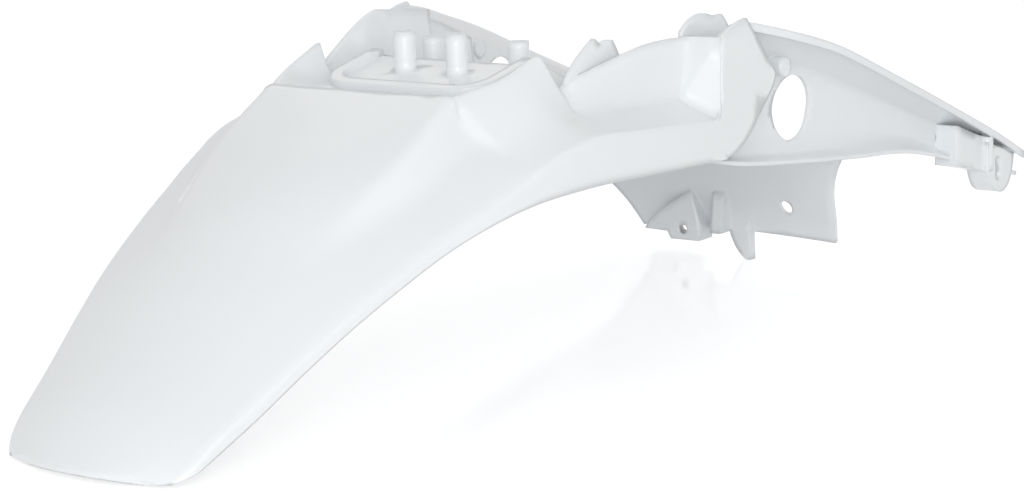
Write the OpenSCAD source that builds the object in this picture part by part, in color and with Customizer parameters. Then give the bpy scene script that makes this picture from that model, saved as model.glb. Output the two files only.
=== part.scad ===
// Rear fender of an off-road motorcycle, one moulded piece of glossy white plastic.
// X runs forward, Y to the left and Z up, in millimetres, from a point under the middle of its length.
// The fender lies as it does on a bench: the tail edge and the keel hook touch Z = 0.

/* [Overall] */
// Length from the tail corners to the tips of the front arms
fender_length = 845; // [820:1:880]
// Wall of the moulding
wall = 2.8; // [2.4:0.1:3.4]

/* [Tail] */
// Width between the rounded tail corners
tail_width = 140; // [130:1:150]
// Corner radius of the tail seen from above
tail_corner_r = 14; // [8:1:18]
// How far the tail edge bows backwards in the middle
tail_bow = 14; // [6:1:20]
// Height of the folded skirt along the tail
skirt_fold = 9; // [6:0.5:12]
// Crown of the tail over its folds
tail_crown = 30; // [22:1:36]
// Rise of the lamp hump over the tail where it is tallest
hump_rise = 23; // [18:1:26]

/* [Side panels] */
// Width over the side panels
panel_width = 284; // [276:1:292]
// Depth of the recess that a number plate sits in
recess_depth = 28; // [22:1:32]
// Height of the panel's top edge
panel_top = 197; // [192:1:202]
// Height of the two wing tips beside the seat rim
wing_top = 199; // [196:1:204]
// Height of the tall wall inside the left panel
left_top = 214; // [210:1:218]

/* [Seat rim] */
// Half width of the rim at its rear corners
rim_half = 66; // [60:1:70]
// Width of the rounded rim band
rim_band = 9; // [7:0.5:11]
// Depth of the tray below the rim
tray_drop = 5; // [3:0.5:8]
// Diameter of the seat posts
post_d = 14; // [11:0.5:17]
// Spacing of the rear pair of posts
rear_post_gap = 42; // [38:1:50]
// Spacing of the front pair of posts
front_post_gap = 70; // [64:1:80]

/* [Front arms] */
// Width over the rims of the arms
arm_width = 316; // [308:1:324]
// Diameter of the large opening in each side web
web_hole_d = 45; // [38:1:50]
// Height of the lip under the rim
arm_lip = 6; // [4:0.5:9]
// Width of the slot in the hanging eye at each arm tip
eye_slot = 8; // [6:0.5:10]

/* [Inner mudguard] */
// Distance from the tail to the mudguard's lower edge
guard_reach = 668; // [658:1:676]
// Bolt hole through the mudguard
guard_hole_d = 10; // [7:0.5:12]
// Hole through the keel lug
lug_hole_d = 7; // [5:0.5:8]

/* [Hidden] */
arc_fn = 48;
white = "whitesmoke";

half_tail = tail_width/2;
half_panel = panel_width/2;
half_arm = arm_width/2;

// Places along the fender, measured from the tail
mid_x = (fender_length - tail_bow)/2;
nose_x = 112;
step_x = 252;
wing_x = 320;
notch_x = 325;
crease_x = 450;
tip_x = fender_length;
rim_x = 286;
rim_z = 180;
rim_tilt = 12;
rim_len = 62;
rim_r = 26;
shelf_x = 384;
shelf_z = 182;
function tray_z(x) = rim_z - tray_drop + (x - rim_x)*tan(rim_tilt);

// Straight and smooth interpolation in a table of [x, value] rows
function row_of(x, t, i = 0) = i >= len(t) - 2 || x < t[i + 1][0] ? i : row_of(x, t, i + 1);
function slope_at(t, i) =
    i == 0 ? (t[1][1] - t[0][1])/(t[1][0] - t[0][0])
    : i == len(t) - 1 ? (t[i][1] - t[i - 1][1])/(t[i][0] - t[i - 1][0])
    : (t[i + 1][1] - t[i - 1][1])/(t[i + 1][0] - t[i - 1][0]);
function smooth(x, t) =
    let (q = min(max(x, t[0][0]), t[len(t) - 1][0]), i = row_of(q, t), h = t[i + 1][0] - t[i][0],
         u = (q - t[i][0])/h)
    (2*u*u*u - 3*u*u + 1)*t[i][1] + (u*u*u - 2*u*u + u)*h*slope_at(t, i)
    + (3*u*u - 2*u*u*u)*t[i + 1][1] + (u*u*u - u*u)*h*slope_at(t, i + 1);
function mix(a, b, u) = a + (b - a)*u;

// Lines that the shell follows from the tail to the panels
function corner_cut(x) = x >= tail_corner_r ? 0 : tail_corner_r - sqrt(x*(2*tail_corner_r - x));
function half_width(x) =
    smooth(x, [[0, half_tail], [42, half_tail + 11], [89, half_tail + 24], [135, half_tail + 37],
               [184, half_panel - 23], [231, half_panel - 11], [280, half_panel - 4],
               [330, half_panel - 1], [400, half_panel + 1], [476, half_panel]]) - corner_cut(x);
function skirt_z(x) =
    smooth(x, [[0, 0], [7, 4], [30, 17], [54, 31], [80, 48], [111, 67], [143, 84], [190, 105],
               [239, 119], [297, 123], [364, 121], [454, 117]]);
function fold_h(x) =
    smooth(x, [[0, skirt_fold/3], [12, skirt_fold - 3], [28, skirt_fold], [200, skirt_fold],
               [240, 15], [275, 25], [310, 30], [346, 29], [450, 26]]);
function fold_z(x) = skirt_z(x) + fold_h(x);
function crown_h(x) =
    smooth(x, [[0, 3], [40, tail_crown*0.43], [80, tail_crown*0.67], [130, tail_crown*0.87],
               [200, tail_crown], [320, tail_crown]]);
function arch_z(x, y) = fold_z(x) + crown_h(x)*(1 - pow(y/half_width(x), 2));

// Lamp hump: half width, and lift over the arch at its edge and on the centre line
function hump_half(x) = smooth(x, [[0, 34], [60, 40], [nose_x, 46], [147, 57], [200, 73], [step_x, 72]]);
function edge_lift(x) =
    smooth(x, [[0, 0], [nose_x, 0], [128, 1], [147, hump_rise*0.17], [200, hump_rise*0.66],
               [step_x, hump_rise]]);
function mid_lift(x) =
    smooth(x, [[0, 0], [nose_x, 0], [128, 2], [147, hump_rise*0.25], [200, hump_rise*0.44],
               [step_x, hump_rise*0.6]]);

// Half section of the tail: [y, z] from the centre line to the skirt's lower edge
function tail_half(x) =
    let (w = half_width(x), h = hump_half(x)*(w/(w + corner_cut(x))), b = 16,
         inner = [for (u = [0, 0.3, 0.6, 0.85]) [h*u, arch_z(x, h*u) + mix(mid_lift(x), edge_lift(x), u*u)]],
         outer = [for (s = [[-0.15, 1], [0.2, 0.93], [0.6, 0.4], [1, 0]])
                  [h + b*s[0], arch_z(x, h + b*s[0]) + edge_lift(x)*s[1]]],
         flank = [for (u = [0.4, 0.75]) let (y = mix(h + b, w, u)) [y, arch_z(x, y)]])
    concat(inner, outer, flank, [[w - 5, arch_z(x, w - 5)], [w - 1.2, fold_z(x) - 0.4],
                                 [w, fold_z(x) - 2], [w, skirt_z(x)]]);

// Rails of the body between the step behind the hump and the front frame
function deck_mid(x) = lookup(x, [[step_x, 178], [rim_x, tray_z(rim_x) - 1], [340, tray_z(340) - 1],
                                  [shelf_x, shelf_z], [shelf_x + 14, 158], [crease_x, 156]]);
function deck_y(x) = lookup(x, [[step_x, 56], [290, 68], [wing_x, 74], [330, 84], [crease_x, 92]]);
function deck_z(x) = lookup(x, [[step_x, 178], [290, 176], [wing_x, 174], [330, 158], [crease_x, 153]]);
function foot_y(x) = lookup(x, [[step_x, 64], [290, 79], [wing_x, 82], [notch_x, 88], [crease_x, 106]]);
function foot_z(x) = lookup(x, [[step_x, 179], [290, 181], [wing_x, 180], [notch_x, 164], [crease_x, 153]]);
function edge_y(x) = lookup(x, [[step_x, 70], [285, 85], [wing_x, 88], [notch_x, 92], [350, 99],
                                [400, 107], [crease_x, half_panel - recess_depth - 2]]);
function edge_z(x) = lookup(x, [[step_x, 181], [285, 188], [wing_x - 4, wing_top], [wing_x, wing_top],
                                [notch_x, 171], [336, 180], [352, 185], [400, panel_top - 2],
                                [420, panel_top], [crease_x, panel_top - 1]]);
function base_y(x) = lookup(x, [[step_x, 104], [290, 112], [notch_x, half_panel - recess_depth - 2],
                                [crease_x, half_panel - recess_depth + 3]]);
function base_z(x) = lookup(x, [[step_x, 153], [275, 162], [300, 168], [notch_x, 163], [400, 159],
                                [crease_x, 156]]);
function rib_depth(x) = lookup(x, [[step_x, 3], [285, 6], [wing_x, 9], [notch_x, 12], [336, 22],
                                   [400, 40], [crease_x, 42]]);
function body_half(x) =
    let (w = half_width(x), e = edge_y(x) + 3)
    [[0, deck_mid(x)], [deck_y(x)*0.35, deck_mid(x)],
     [deck_y(x)*0.66, mix(deck_mid(x), deck_z(x), 0.06)], [deck_y(x), deck_z(x)],
     [foot_y(x), foot_z(x)], [edge_y(x), edge_z(x)], [e, edge_z(x) - 0.6],
     [mix(e, base_y(x), 0.5), mix(edge_z(x), base_z(x), 0.48)],
     [base_y(x), base_z(x)], [mix(base_y(x), w, 0.3), mix(base_z(x), fold_z(x), 0.42)],
     [w - 6, mix(base_z(x), fold_z(x), 0.85)], [w - 1.2, fold_z(x) + 0.6],
     [w, fold_z(x) - 1.5], [w, skirt_z(x)]];

// Underside of a half section: the wall set in square to it, and straight under the ribs
function turn(a, b) = let (d = b - a, n = norm(d)) [d[1], -d[0]]/n;
function inset(p, i, t) =
    i == 0 ? p[0] - [0, t]
    : i == len(p) - 1 ? p[i] - [t, 0]
    : let (m = turn(p[i - 1], p[i]) + turn(p[i], p[i + 1]), q = m/norm(m)) p[i] + q*t;
function tail_under(x) = let (p = tail_half(x)) [for (i = [0:len(p) - 1]) inset(p, i, wall)];
function body_under(x) =
    let (p = body_half(x))
    [for (i = [0:len(p) - 1]) i == 4 ? p[i] - [-1, wall]
     : i == 5 || i == 6 ? p[i] - [0, rib_depth(x)]
     : i == 7 ? [p[i][0], mix(p[6][1] - rib_depth(x), p[8][1] - wall, 0.5)]
     : i == 8 ? p[8] - [0.8, wall]
     : inset(p, i, wall)];

shell_x = [0, 1.5, 4, 8, 14, 22, 32, 44, 58, 75, 93, 112, 120, 129, 138, 148, 160, 174, 188, 202,
           218, 235, 250, 254, 262, 274, 286, 298, 308, 316, 320, 325, 331, 340, 348, 358, 371,
           shelf_x, shelf_x + 14, 412, 430, 450];
function bow_x(x, y) = x - tail_bow*max(0, 1 - x/70)*(1 - pow(y/half_width(x), 2));
function ring(x) =
    let (top = x < step_x ? tail_half(x) : body_half(x), low = x < step_x ? tail_under(x) : body_under(x),
         n = len(top))
    concat([for (i = [n - 1:-1:1]) [bow_x(x, top[i][0]), -top[i][0], top[i][1]]],
           [for (i = [0:n - 1]) [bow_x(x, top[i][0]), top[i][0], top[i][1]]],
           [for (i = [n - 1:-1:0]) [bow_x(x, low[i][0]), low[i][0], low[i][1]]],
           [for (i = [1:n - 1]) [bow_x(x, low[i][0]), -low[i][0], low[i][1]]]);

// Closed solid through rings of points that each run up the outside and back along the inside
module sheet(rings) {
    n = len(rings[0]);
    last = len(rings) - 1;
    sides = [for (i = [0:last - 1], j = [0:n - 1]) let (k = (j + 1) % n)
             each [[i*n + j, i*n + k, (i + 1)*n + j], [(i + 1)*n + j, i*n + k, (i + 1)*n + k]]];
    caps = [for (e = [0, last], j = [0:n/2 - 2])
            let (a = e*n + j, b = a + 1, c = e*n + n - 2 - j, d = c + 1)
            each (e == 0 ? [[a, c, b], [a, d, c]] : [[a, b, c], [a, c, d]])];
    polyhedron([for (r = rings) each r], concat(sides, caps));
}

// Tail, hump, wings, deck, recessed panels and folded skirts in one sweep
module shell() {
    color(white) sheet([for (x = shell_x) ring(x)]);
}

// A flat plate drawn in the XZ plane, from y to y + t
module plate_xz(points, y, t) {
    translate([0, y + t, 0]) rotate([90, 0, 0]) linear_extrude(t) polygon(points);
}

// A straight wall between two upright lines [bottom, top], with its thickness along X
module wall_between(a, b, t) {
    p = concat(a, b, [for (q = concat(a, b)) q + [t, 0, 0]]);
    polyhedron(p, [[0, 2, 3], [0, 3, 1], [4, 5, 7], [4, 7, 6], [0, 1, 5], [0, 5, 4],
                   [2, 6, 7], [2, 7, 3], [0, 4, 6], [0, 6, 2], [1, 3, 7], [1, 7, 5]]);
}

// Both sides of the fender
module both() {
    children();
    mirror([0, 1, 0]) children();
}

// Front end of a side panel: outer face and slanted end wall of the recess
frame_y = half_panel + 0.5;
lug_y = half_panel - recess_depth - 1;
root_x = 447;
wall_back = [[434, 150], [449, panel_top - 1]];
wall_front = [[443, 135], [445, panel_top]];
wall_t = wall + 1;
function wall_x(y, z) =
    let (u = (y - lug_y)/(frame_y - 1 - lug_y), h = max(z, wall_back[0][1]))
    mix(lookup(h, [for (p = wall_back) [p[1], p[0]]]), lookup(h, [for (p = wall_front) [p[1], p[0]]]), u)
    + wall_t/2;
module panel_front() {
    color(white) {
        plate_xz([[446, 119], [446, panel_top], [462, 204], [477, 206], [505, 174], [512, 165],
                  [509, 156], [493, 143], [481, 131], [466, 121], [454, 118]], frame_y - wall, wall);
        wall_between([for (p = wall_back) [p[0], lug_y - 0.4, p[1]]],
                     [for (p = wall_front) [p[0], frame_y - 1, p[1]]], wall_t);
    }
}

// Inside the right panel stand a low ridge with two teeth and an upright lug
ridge_y = 95;
ridge_t = wall + 0.6;
module right_plates() {
    color(white) {
        plate_xz([[333, 150], [336, 182], [349, 194], [368, 204], [374, 199], [380, 202], [387, 201],
                  [397, 188], [404, 150]], -ridge_y - ridge_t, ridge_t);
        plate_xz([[445, 150], [448, 199], [459, 207], [476, 209], [484, 205], [497, 205], [506, 196],
                  [512, 180], [512, 150]], 5 - lug_y - wall, wall);
    }
}

// Inside the left panel stands one tall wall, and its lug stays low
module left_plates() {
    color(white) {
        plate_xz([[333, 150], [334, 184], [367, 205], [390, left_top], [401, left_top - 4],
                  [415, left_top - 3], [430, 208], [445, 206], [446, 150]], ridge_y, ridge_t);
        plate_xz([[445, 150], [446, 196], [462, 198], [486, 188], [508, 178], [512, 150]], lug_y - 5, wall);
    }
}

// Seat rim: a tilted U-shaped band with a tray inside it
module rim_shape(edge) {
    for (s = [-1, 1]) translate([rim_r, s*(rim_half - rim_r)]) circle(r = rim_r - edge, $fn = arc_fn);
    translate([edge, -(rim_half - rim_r)]) square([rim_len - edge, 2*(rim_half - rim_r)]);
    translate([rim_r, -(rim_half - edge)]) square([rim_len - rim_r, 2*(rim_half - edge)]);
}
module seat_rim() {
    color(white) translate([rim_x, 0, rim_z]) rotate([0, -rim_tilt, 0]) {
        difference() {
            translate([0, 0, -16]) linear_extrude(16) rim_shape(0);
            translate([0, 0, -17]) linear_extrude(20) rim_shape(rim_band);
        }
        translate([0, 0, -tray_drop - wall]) linear_extrude(wall) rim_shape(rim_band - 1);
    }
}

// A seat post on the deck, with a pin hole in its head
module post(x, y, head) {
    foot = deck_mid(x) - 2;
    color(white) translate([x, y, foot]) difference() {
        cylinder(h = head - foot, d = post_d, $fn = 32);
        translate([0, 0, head - foot - 12]) cylinder(h = 13, d = post_d - 2*wall, $fn = 32);
    }
}
rear_post_x = 325;
rear_post_top = 209;
front_post_x = 372;
front_post_top = 199;
module posts() {
    for (s = [-1, 1]) {
        post(rear_post_x, s*rear_post_gap/2, rear_post_top);
        post(front_post_x, s*front_post_gap/2, front_post_top);
    }
}

// Arm rails: [x, value] rows for the rim, the cove crease, the web and the bottom flange
function arm_rim_y(x) = smooth(x, [[root_x, half_panel - 1], [492, half_panel - 0.8], [520, half_arm - 9],
                                   [573, half_arm - 2], [627, half_arm], [tip_x, half_arm]]);
function arm_rim_z(x) = smooth(x, [[root_x, 194], [462, 201.2], [478, 203.5], [520, 193], [573, 177],
                                   [627, 155], [684, 132], [744, 107], [808, 80], [tip_x, 62]]);
function arm_crease_y(x) = smooth(x, [[root_x, 121], [520, 124], [627, 129], [744, 133], [tip_x, 139]]);
function arm_crease_z(x) = smooth(x, [[root_x, 174], [478, 179], [520, 172], [573, 158], [627, 140],
                                      [684, 119], [744, 98], [808, 74], [tip_x, 60]]);
function arm_web_z(x) = smooth(x, [[root_x, 121], [480, 113], [520, 107], [573, 101], [627, 95], [684, 90],
                                   [744, 76], [808, 56], [tip_x, 48]]);
function arm_lean(x) = lookup(x, [[root_x, 1], [500, 0]]);
function arm_outer(x) =
    let (ry = arm_rim_y(x), rz = arm_rim_z(x), cy = arm_crease_y(x), cz = arm_crease_z(x),
         wz = arm_web_z(x))
    [[ry - wall, rz - arm_lip], [ry - wall, rz - wall - 0.8], [ry - wall - 0.8, rz - wall],
     [ry - 8, rz - wall - 0.9], [mix(ry - 8, cy, 0.5), mix(rz - wall, cz, 0.42)], [cy, cz],
     [cy - 2, mix(cz, wz, 0.5)], [cy - 1, mix(cz, wz, 0.85)], [cy + 3, wz], [cy + 12, wz - 3]];
function arm_inner(x) =
    let (p = arm_outer(x), ry = arm_rim_y(x), rz = arm_rim_z(x), n = len(p))
    concat([[ry, rz - arm_lip], [ry, rz - 1], [ry - 1, rz], [ry - 8.4, rz - 0.9]],
           [for (i = [4:n - 2]) let (m = turn(p[i - 1], p[i]) + turn(p[i], p[i + 1])) p[i] + wall*m/norm(m)],
           [p[n - 1] - [0.8, wall]]);
function arm_ring(x) =
    let (q = arm_inner(x), n = len(q))
    [for (v = concat(arm_outer(x), [for (i = [n - 1:-1:0]) q[i]]))
     [x + arm_lean(x)*(wall_x(v[0], v[1]) - root_x), v[0], v[1]]];
arm_x = [root_x, 455, 466, 478, 492, 506, 520, 540, 560, 580, 604, 628, 654, 684, 714, 744, 776, 808, tip_x];
module arm_sheet() {
    color(white) sheet([for (x = arm_x) arm_ring(x)]);
}

// Block and hanging eye at the tip of an arm
eye_x = tip_x - 34;
module eye_outline() {
    difference() {
        polygon([[eye_x - 20, 76], [eye_x - 20, 55], [eye_x - 16, 44], [eye_x - 8, 37], [eye_x + 3, 34],
                 [eye_x + 13, 38], [eye_x + 19, 47], [eye_x + 22, 58], [eye_x + 22, 62]]);
        hull() for (z = [49, 59]) translate([eye_x - 4, z]) circle(d = eye_slot, $fn = 16);
    }
}
module arm_tip() {
    color(white) {
        plate_xz([[tip_x - 95, 64], [tip_x - 93, 94], [tip_x - 66, 84], [tip_x - 38, 76], [tip_x - 38, 50],
                  [tip_x - 68, 58]], half_arm - 26, 18);
        translate([0, half_arm - 3.3, 0]) rotate([90, 0, 0]) linear_extrude(18) eye_outline();
        translate([eye_x - 15, half_arm - 7, 54]) cylinder(h = 26, d = 10, $fn = 20);
    }
}

// Inner mudguard: stations of [x, z, half width on the right, half width on the left]
function web_mid(x) = arm_crease_y(x) - 2 - wall/2;
guard_rows = [[442, 152, web_mid(442), web_mid(442)], [480, 139, web_mid(480), web_mid(480)],
              [520, 122, web_mid(520), web_mid(520)], [560, 107, web_mid(560), web_mid(560)],
              [guard_reach - 65, 96, web_mid(600), web_mid(600)], [guard_reach - 42, 82, 117, 108],
              [guard_reach - 24, 62, 109, 88], [guard_reach - 11, 42, 105, 75],
              [guard_reach - 3, 22, 101, 66]];
guard_steps = 8;
// The sides of the mudguard sweep forward to meet the webs' lower edges
guard_sweep = 32;
function sweep_at(i) = lookup(i, [[3, 0], [4, guard_sweep], [5, guard_sweep/3], [6, 0]]);
function guard_normal(i) =
    let (a = guard_rows[max(i - 1, 0)], b = guard_rows[min(i + 1, len(guard_rows) - 1)],
         d = [b[0] - a[0], b[1] - a[1]]/norm([b[0] - a[0], b[1] - a[1]])) [-d[1], d[0]];
function guard_ring(i) =
    let (r = guard_rows[i], n = guard_normal(i),
         line = [for (j = [0:guard_steps]) let (u = 2*j/guard_steps - 1, y = u < 0 ? u*r[2] : u*r[3])
                 [r[0] - 5*u*u*n[0]*i/8 + sweep_at(i)*pow(u, 6), y, r[1] - 5*u*u*n[1]*i/8]])
    concat([for (p = line) p], [for (j = [guard_steps:-1:0]) line[j] - wall*[n[0], 0, n[1]]]);
module guard() {
    color(white) sheet([for (i = [0:len(guard_rows) - 1]) guard_ring(i)]);
}

// Keel under the mudguard: a hollow lug, a rib beside it, and the hook that the fender rests on
module plate_yz(points, x, t) {
    translate([x, 0, 0]) rotate([90, 0, 90]) linear_extrude(t) polygon(points);
}
keel_x = guard_reach - 10;
keel_t = 7;
lug_x = guard_reach - 22;
module lug_outline() {
    polygon([[15.5, 51], [36, 39], [53, 26], [57, 19], [37, 18.5], [34, 13], [9, 13], [7, 21]]);
}
module keel() {
    color(white) {
        intersection() {
            union() {
                translate([lug_x, 0, 0]) rotate([90, 0, 90]) linear_extrude(wall) lug_outline();
                translate([lug_x, 0, 0]) rotate([90, 0, 90]) linear_extrude(24) difference() {
                    lug_outline();
                    offset(delta = -wall) lug_outline();
                }
                plate_yz([[-1, 20], [-10, 20], [-13.5, 51], [-4, 51]], lug_x, 24);
            }
            plate_xz([[lug_x - 1, 0], [lug_x - 1, 60], [guard_reach - 21.4, 60], [guard_reach - 17, 50],
                      [guard_reach - 12.4, 42], [guard_reach - 4.6, 23], [guard_reach - 4, 0]], -20, 90);
        }
        plate_yz([[-4.5, 53], [-9, 27], [-11, 18], [-15, 9], [-20, 3], [-24, 0], [-28, 0], [-28, 30],
                  [-20, 52]], keel_x, keel_t);
    }
}

// Everything that is moulded as thin sheet, as one closed skin
module moulding() {
    resize([0, 0, 0]) union() {
        shell();
        seat_rim();
        guard();
        keel();
        right_plates();
        left_plates();
        both() {
            panel_front();
            arm_sheet();
            arm_tip();
        }
    }
}

// Round bosses on the webs
web_hole_x = 560;
web_hole_z = 134;
module web_boss() {
    color(white) translate([534, 120, 166]) rotate([-90, 0, 0]) cylinder(h = 17, d = 13, $fn = 32);
}

// Holes through the webs, the mudguard, the lug and the eyes
module holes() {
    both() {
        translate([web_hole_x, 117, web_hole_z]) rotate([-90, 0, 0])
            cylinder(h = 20, d = web_hole_d, $fn = 64);
    }
    translate([keel_x - 20, -64, 44]) rotate([0, 90, 0]) cylinder(h = 30, d = guard_hole_d, $fn = 32);
    translate([lug_x - 5, 23, 21]) rotate([0, 90, 0]) cylinder(h = 13, d = lug_hole_d, $fn = 32);
}

module fender() {
    translate([-mid_x, 0, 0]) difference() {
        union() {
            moulding();
            posts();
            both() web_boss();
        }
        color(white) holes();
    }
}

fender();
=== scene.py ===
import logging
import math
from dataclasses import dataclass, field
from enum import Enum

import bmesh
import bpy
from mathutils import Matrix, Vector


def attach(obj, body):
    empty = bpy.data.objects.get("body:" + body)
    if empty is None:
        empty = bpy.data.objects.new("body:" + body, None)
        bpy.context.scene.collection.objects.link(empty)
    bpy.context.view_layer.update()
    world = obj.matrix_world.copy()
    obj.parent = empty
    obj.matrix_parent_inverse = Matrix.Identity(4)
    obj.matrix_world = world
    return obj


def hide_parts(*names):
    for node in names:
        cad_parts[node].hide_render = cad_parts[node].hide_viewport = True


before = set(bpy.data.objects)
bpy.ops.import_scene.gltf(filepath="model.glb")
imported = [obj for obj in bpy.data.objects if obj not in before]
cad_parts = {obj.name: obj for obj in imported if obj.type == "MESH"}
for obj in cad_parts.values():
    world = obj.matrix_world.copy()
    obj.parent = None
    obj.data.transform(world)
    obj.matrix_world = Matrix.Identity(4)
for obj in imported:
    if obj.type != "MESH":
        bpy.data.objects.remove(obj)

log = logging.getLogger("fender")

Pair = tuple[float, float]
Triple = tuple[float, float, float]

MM = 0.001
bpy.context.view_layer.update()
WHITE = (1.0, 1.0, 1.0, 1.0)
RIGHT_AND_LEFT = (-1, 1)
QUAD_CORNERS = 4


class EdgeWork(Enum):
    """How hard an edge of the moulding stays when its faces are rounded."""

    ROUND = 0.0
    CRISP = 0.62


@dataclass
class Wiring:
    """The nodes of one material or world, and the links between them."""

    tree: bpy.types.NodeTree

    def add(self, kind: str, values: dict[str | int, float] | None = None) -> bpy.types.Node:
        """Adds a node and sets constants on its sockets.

        Args:
            kind: The node's type.
            values: The constant of each input socket that gets one.

        Returns:
            The new node.
        """
        node = self.tree.nodes.new(kind)
        for socket, value in (values or {}).items():
            node.inputs[socket].default_value = value
        return node

    def join(
        self, source: bpy.types.Node, output: str, target: bpy.types.Node, socket: str | int
    ) -> None:
        """Links one node's output to another node's input.

        Args:
            source: The node that gives the value.
            output: The output's name.
            target: The node that takes the value.
            socket: The input's name or number.
        """
        self.tree.links.new(source.outputs[output], target.inputs[socket])


@dataclass(frozen=True)
class Cloud:
    """A noise pattern: how fine it is per metre, and its detail."""

    scale: float
    detail: float

    def spread(self, wiring: Wiring, place: bpy.types.Node) -> bpy.types.Node:
        """Lays the pattern over the object.

        Args:
            wiring: The material's nodes.
            place: The texture coordinates.

        Returns:
            The noise node.
        """
        noise = wiring.add("ShaderNodeTexNoise", {"Scale": self.scale, "Detail": self.detail})
        wiring.join(place, "Object", noise, "Vector")
        return noise


@dataclass(frozen=True)
class PlasticFinish:
    """Glossy white plastic as it comes from a polished mould."""

    name: str
    colour: Triple
    roughness: float
    coat: float
    coat_roughness: float
    refraction: float = 1.49
    tint: Cloud = Cloud(3.0, 0.0)
    tint_span: Pair = (0.1, 0.9)
    darkest_tint: float = 0.98
    polish: Cloud = Cloud(18.0, 4.0)
    polish_span: Pair = (0.3, 0.7)
    polish_share: Pair = (0.92, 1.1)
    ripple: Cloud = Cloud(14.0, 2.0)
    ripple_depth: float = 0.15 * MM
    ripple_strength: float = 0.25

    def material(self) -> bpy.types.Material:
        """Builds the plastic's node material.

        Returns:
            The material, with patterns on Object coordinates.
        """
        mat = bpy.data.materials.new(self.name)
        mat.use_nodes = True
        wiring = Wiring(mat.node_tree)
        shader = mat.node_tree.nodes["Principled BSDF"]
        shader.inputs["IOR"].default_value = self.refraction
        shader.inputs["Coat Weight"].default_value = self.coat
        shader.inputs["Coat Roughness"].default_value = self.coat_roughness
        place = wiring.add("ShaderNodeTexCoord")
        self._cloud_pigment(wiring, place, shader)
        self._vary_polish(wiring, place, shader)
        self._ripple_surface(wiring, place, shader)
        return mat

    def _cloud_pigment(
        self, wiring: Wiring, place: bpy.types.Node, shader: bpy.types.Node
    ) -> None:
        """Gives the pigment its faint unevenness.

        Args:
            wiring: The material's nodes.
            place: The texture coordinates.
            shader: The shader that takes the colour.
        """
        cloud = self.tint.spread(wiring, place)
        ramp = wiring.add("ShaderNodeValToRGB")
        low, high = ramp.color_ramp.elements
        low.position, high.position = self.tint_span
        low.color = (*[c * self.darkest_tint for c in self.colour], 1.0)
        high.color = (*self.colour, 1.0)
        wiring.join(cloud, "Fac", ramp, "Fac")
        wiring.join(ramp, "Color", shader, "Base Color")

    def _vary_polish(
        self, wiring: Wiring, place: bpy.types.Node, shader: bpy.types.Node
    ) -> None:
        """Varies the roughness as the mould's polish varies.

        Args:
            wiring: The material's nodes.
            place: The texture coordinates.
            shader: The shader that takes the roughness.
        """
        patches = self.polish.spread(wiring, place)
        low, high = self.polish_span
        finest, coarsest = self.polish_share
        span = wiring.add("ShaderNodeMapRange", {
            "From Min": low,
            "From Max": high,
            "To Min": self.roughness * finest,
            "To Max": self.roughness * coarsest,
        })
        wiring.join(patches, "Fac", span, "Value")
        wiring.join(span, "Result", shader, "Roughness")

    def _ripple_surface(
        self, wiring: Wiring, place: bpy.types.Node, shader: bpy.types.Node
    ) -> None:
        """Adds the shallow flow ripple of moulded sheet.

        Args:
            wiring: The material's nodes.
            place: The texture coordinates.
            shader: The shader that takes the bumped normal.
        """
        flow = self.ripple.spread(wiring, place)
        bump = wiring.add("ShaderNodeBump", {
            "Strength": self.ripple_strength,
            "Distance": self.ripple_depth,
        })
        wiring.join(flow, "Fac", bump, "Height")
        wiring.join(bump, "Normal", shader, "Normal")


GLOSS_WHITE = PlasticFinish(
    name="gloss_white_plastic",
    colour=(0.845, 0.868, 0.885),
    roughness=0.32,
    coat=0.35,
    coat_roughness=0.1,
)


@dataclass(frozen=True)
class TailCorner:
    """The place at a tail corner where the solid's last rows fold over, and its tip."""

    end: float = -409.6 * MM
    inner: float = 49.0 * MM
    top: float = 8.0 * MM
    tip: Triple = (-415.5 * MM, 64.0 * MM, 1.4 * MM)

    def holds(self, vert: bmesh.types.BMVert, side: int) -> bool:
        """Says whether a vertex lies in the folded rows of one side."""
        x, y, z = vert.co
        return x < self.end and side * y > self.inner and z < self.top

    def tip_at(self, side: float) -> Vector:
        """Gives the tip's place on the side that has this sign."""
        x, y, z = self.tip
        return Vector((x, math.copysign(y, side), z))


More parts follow.
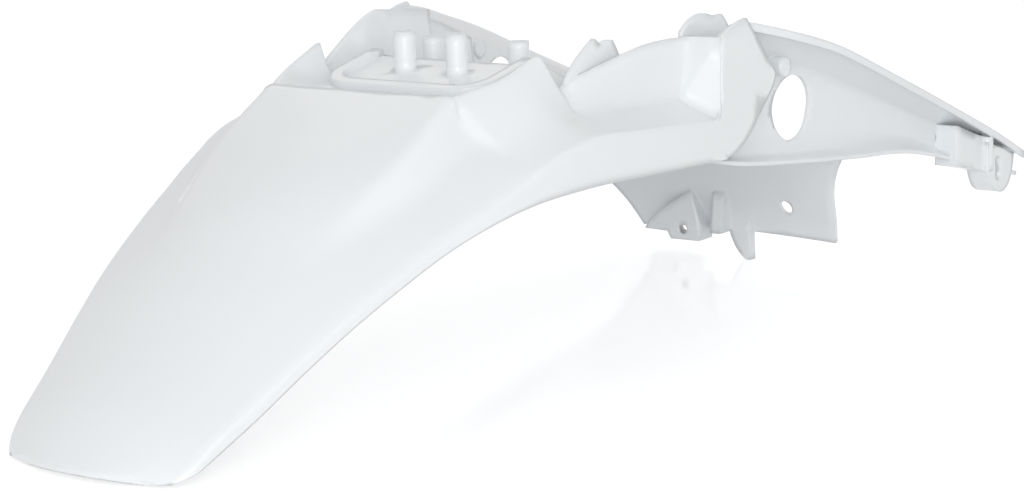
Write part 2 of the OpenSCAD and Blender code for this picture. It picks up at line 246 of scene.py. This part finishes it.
@dataclass
class MouldedSkin:
    """The fender's skin: the solid's own faces, welded, squared up and rounded."""

    node: str = "fender"
    weld: float = 0.02 * MM
    flat_angle: float = math.radians(0.4)
    pair_angle: float = math.radians(25)
    pair_shape: float = math.radians(60)
    sharp_angle: float = math.radians(42)
    levels: int = 2
    kept_share: float = 0.86
    corner: TailCorner = TailCorner()
    finish: PlasticFinish = GLOSS_WHITE

    def build(self) -> bpy.types.Object:
        """Makes the skin and puts it in place of the plain solid.

        Returns:
            The finished object, riding on the root.
        """
        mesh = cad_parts[self.node].data.copy()
        bm = bmesh.new()
        bm.from_mesh(mesh)
        self._square_up(bm)
        self._hold_edges(bm)
        bm.to_mesh(mesh)
        bm.free()
        skin = bpy.data.objects.new("fender_skin", mesh)
        bpy.context.scene.collection.objects.link(skin)
        self._round(skin)
        skin.data.materials.clear()
        skin.data.materials.append(self.finish.material())
        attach(skin, "root")
        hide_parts(self.node)
        return skin

    def _square_up(self, bm: bmesh.types.BMesh) -> None:
        """Welds the loose triangles and joins them into larger faces.

        Args:
            bm: The copied mesh, changed in place.
        """
        bmesh.ops.remove_doubles(bm, verts=bm.verts, dist=self.weld)
        for side in RIGHT_AND_LEFT:
            self._mend_corner(bm, side)
        bmesh.ops.dissolve_limit(
            bm, angle_limit=self.flat_angle, verts=bm.verts, edges=bm.edges, delimit=set()
        )
        many_sided = [f for f in bm.faces if len(f.verts) > QUAD_CORNERS]
        bmesh.ops.triangulate(bm, faces=many_sided)
        bmesh.ops.join_triangles(
            bm,
            faces=bm.faces,
            angle_face_threshold=self.pair_angle,
            angle_shape_threshold=self.pair_shape,
        )

    def _mend_corner(self, bm: bmesh.types.BMesh, side: int) -> None:
        """Closes a tail corner with one rounded tip in place of its folded rows.

        Args:
            bm: The welded mesh, changed in place.
            side: 1 for the left corner, -1 for the right one.
        """
        rows = [v for v in bm.verts if self.corner.holds(v, side)]
        bmesh.ops.delete(bm, geom=rows, context="VERTS")
        loose = [v for v in bm.verts if not v.link_faces]
        bmesh.ops.delete(bm, geom=loose, context="VERTS")
        rim = [e for e in bm.edges if e.is_boundary]
        cap = bmesh.ops.holes_fill(bm, edges=rim, sides=0)["faces"]
        for tip in bmesh.ops.poke(bm, faces=cap)["verts"]:
            tip.co = self.corner.tip_at(side)

    def _work_on(self, edge: bmesh.types.BMEdge) -> EdgeWork:
        """Chooses how hard an edge stays.

        Args:
            edge: An edge of the squared-up mesh.

        Returns:
            CRISP for a sharp edge away from the mended tips, ROUND for the others.
        """
        for vert in edge.verts:
            if (vert.co - self.corner.tip_at(vert.co.y)).length < self.weld:
                return EdgeWork.ROUND
        if not edge.is_manifold or edge.calc_face_angle(0.0) > self.sharp_angle:
            return EdgeWork.CRISP
        return EdgeWork.ROUND

    def _hold_edges(self, bm: bmesh.types.BMesh) -> None:
        """Creases the edges that stay edges in the moulding.

        Args:
            bm: The squared-up mesh, changed in place.
        """
        layer = bm.edges.layers.float.new("crease_edge")
        for edge in bm.edges:
            edge[layer] = self._work_on(edge).value
        for face in bm.faces:
            face.smooth = True

    def _round(self, skin: bpy.types.Object) -> None:
        """Rounds the faces with a subdivision surface and thins the flat ones.

        Args:
            skin: The object that gets the modifiers.
        """
        rounding = skin.modifiers.new("rounding", "SUBSURF")
        rounding.levels = rounding.render_levels = self.levels
        rounding.use_limit_surface = False
        thinning = skin.modifiers.new("thinning", "DECIMATE")
        thinning.ratio = self.kept_share


@dataclass(frozen=True)
class SoftLamp:
    """One soft square lamp: its place and size in metres, and its power in watts."""

    name: str
    place: Triple
    size: float
    power: float

    def hang(self, aim: Triple) -> None:
        """Hangs the lamp so that it looks at the fender.

        Args:
            aim: The point it looks at, in metres.
        """
        light = bpy.data.lights.new(self.name, "AREA")
        light.shape = "SQUARE"
        light.size = self.size
        light.energy = self.power
        holder = bpy.data.objects.new(self.name, light)
        holder.location = self.place
        towards = Vector(aim) - Vector(self.place)
        holder.rotation_euler = towards.to_track_quat("-Z", "Y").to_euler()
        bpy.context.scene.collection.objects.link(holder)


@dataclass
class Studio:
    """Plain pale floor, soft lamps and the photograph's camera."""

    lamps: tuple[SoftLamp, ...] = (
        SoftLamp("key", (-1.1, -1.9, 1.5), 0.7, 4.0),
        SoftLamp("fill", (-2.2, -1.6, 0.5), 1.6, 32.0),
        SoftLamp("rim", (1.6, 1.8, 2.2), 1.6, 4.0),
    )
    lamp_aim: Triple = (0.0, 0.0, 0.1)
    floor_reach: float = 30.0
    floor_colour: Triple = (0.93, 0.93, 0.93)
    floor_roughness: float = 0.08
    floor_glow: float = 0.4
    level_at_horizon: float = 0.81
    level_overhead: float = 0.6
    level_seen: float = 1.0
    camera_at: Vector = field(default_factory=lambda: Vector((-1479.2, -1105.4, 429.5)) * MM)
    forward: Vector = field(default_factory=lambda: Vector((0.7826, 0.5897, -0.1994)))
    up: Vector = field(default_factory=lambda: Vector((0.1822, 0.0892, 0.9792)))
    focal_mm: float = 98.4
    sensor_mm: float = 36.0

    def build(self) -> None:
        """Sets up the floor, the world, the lamps and the camera."""
        self._floor()
        self._world()
        for lamp in self.lamps:
            lamp.hang(self.lamp_aim)
        self._camera()

    def _floor(self) -> None:
        """Lays the floor under the fender's lowest point."""
        bm = bmesh.new()
        bmesh.ops.create_grid(bm, x_segments=1, y_segments=1, size=self.floor_reach)
        mesh = bpy.data.meshes.new("floor")
        bm.to_mesh(mesh)
        bm.free()
        floor = bpy.data.objects.new("floor", mesh)
        bpy.context.scene.collection.objects.link(floor)
        mesh.materials.append(self._floor_material())

    def _floor_material(self) -> bpy.types.Material:
        """Makes the floor's pale paint, which the camera sees as white.

        Returns:
            The material.
        """
        mat = bpy.data.materials.new("studio_floor")
        mat.use_nodes = True
        wiring = Wiring(mat.node_tree)
        shader = mat.node_tree.nodes["Principled BSDF"]
        shader.inputs["Base Color"].default_value = (*self.floor_colour, 1.0)
        shader.inputs["Roughness"].default_value = self.floor_roughness
        shader.inputs["Emission Color"].default_value = WHITE
        path = wiring.add("ShaderNodeLightPath")
        seen = wiring.add("ShaderNodeMath")
        seen.operation = "MAXIMUM"
        glow = wiring.add("ShaderNodeMath", {1: self.floor_glow})
        glow.operation = "MULTIPLY"
        wiring.join(path, "Is Camera Ray", seen, 0)
        wiring.join(path, "Is Glossy Ray", seen, 1)
        wiring.join(seen, "Value", glow, 0)
        wiring.join(glow, "Value", shader, "Emission Strength")
        return mat

    def _world(self) -> None:
        """Surrounds the fender with soft white, brighter at the horizon than overhead."""
        world = bpy.data.worlds.new("studio")
        bpy.context.scene.world = world
        world.use_nodes = True
        wiring = Wiring(world.node_tree)
        sky = world.node_tree.nodes["Background"]
        sky.inputs["Color"].default_value = WHITE
        place = wiring.add("ShaderNodeTexCoord")
        split = wiring.add("ShaderNodeSeparateXYZ")
        height = wiring.add("ShaderNodeMapRange", {
            "To Min": self.level_at_horizon,
            "To Max": self.level_overhead,
        })
        path = wiring.add("ShaderNodeLightPath")
        level = wiring.add("ShaderNodeMapRange", {"To Max": self.level_seen})
        wiring.join(place, "Generated", split, "Vector")
        wiring.join(split, "Z", height, "Value")
        wiring.join(height, "Result", level, "To Min")
        wiring.join(path, "Is Camera Ray", level, "Value")
        wiring.join(level, "Result", sky, "Strength")

    def _camera(self) -> None:
        """Stands the camera where the photograph was taken from."""
        data = bpy.data.cameras.new("camera")
        data.sensor_width = self.sensor_mm
        data.sensor_fit = "HORIZONTAL"
        data.lens = self.focal_mm
        camera = bpy.data.objects.new("camera", data)
        back = -self.forward.normalized()
        right = self.up.cross(back).normalized()
        up = back.cross(right)
        turn = Matrix((right, up, back)).transposed().to_4x4()
        camera.matrix_world = Matrix.Translation(self.camera_at) @ turn
        bpy.context.scene.collection.objects.link(camera)
        bpy.context.scene.camera = camera


def main() -> None:
    """Builds the fender's skin and the studio, and reports each."""
    logging.basicConfig(level=logging.INFO, format="%(name)s: %(message)s")
    bpy.context.scene.view_settings.view_transform = "Standard"
    skin = MouldedSkin().build()
    log.info("%s: %d faces before rounding", skin.name, len(skin.data.polygons))
    studio = Studio()
    studio.build()
    log.info("studio: floor, world, %d lamps and the camera", len(studio.lamps))


if __name__ == "__main__":
    main()
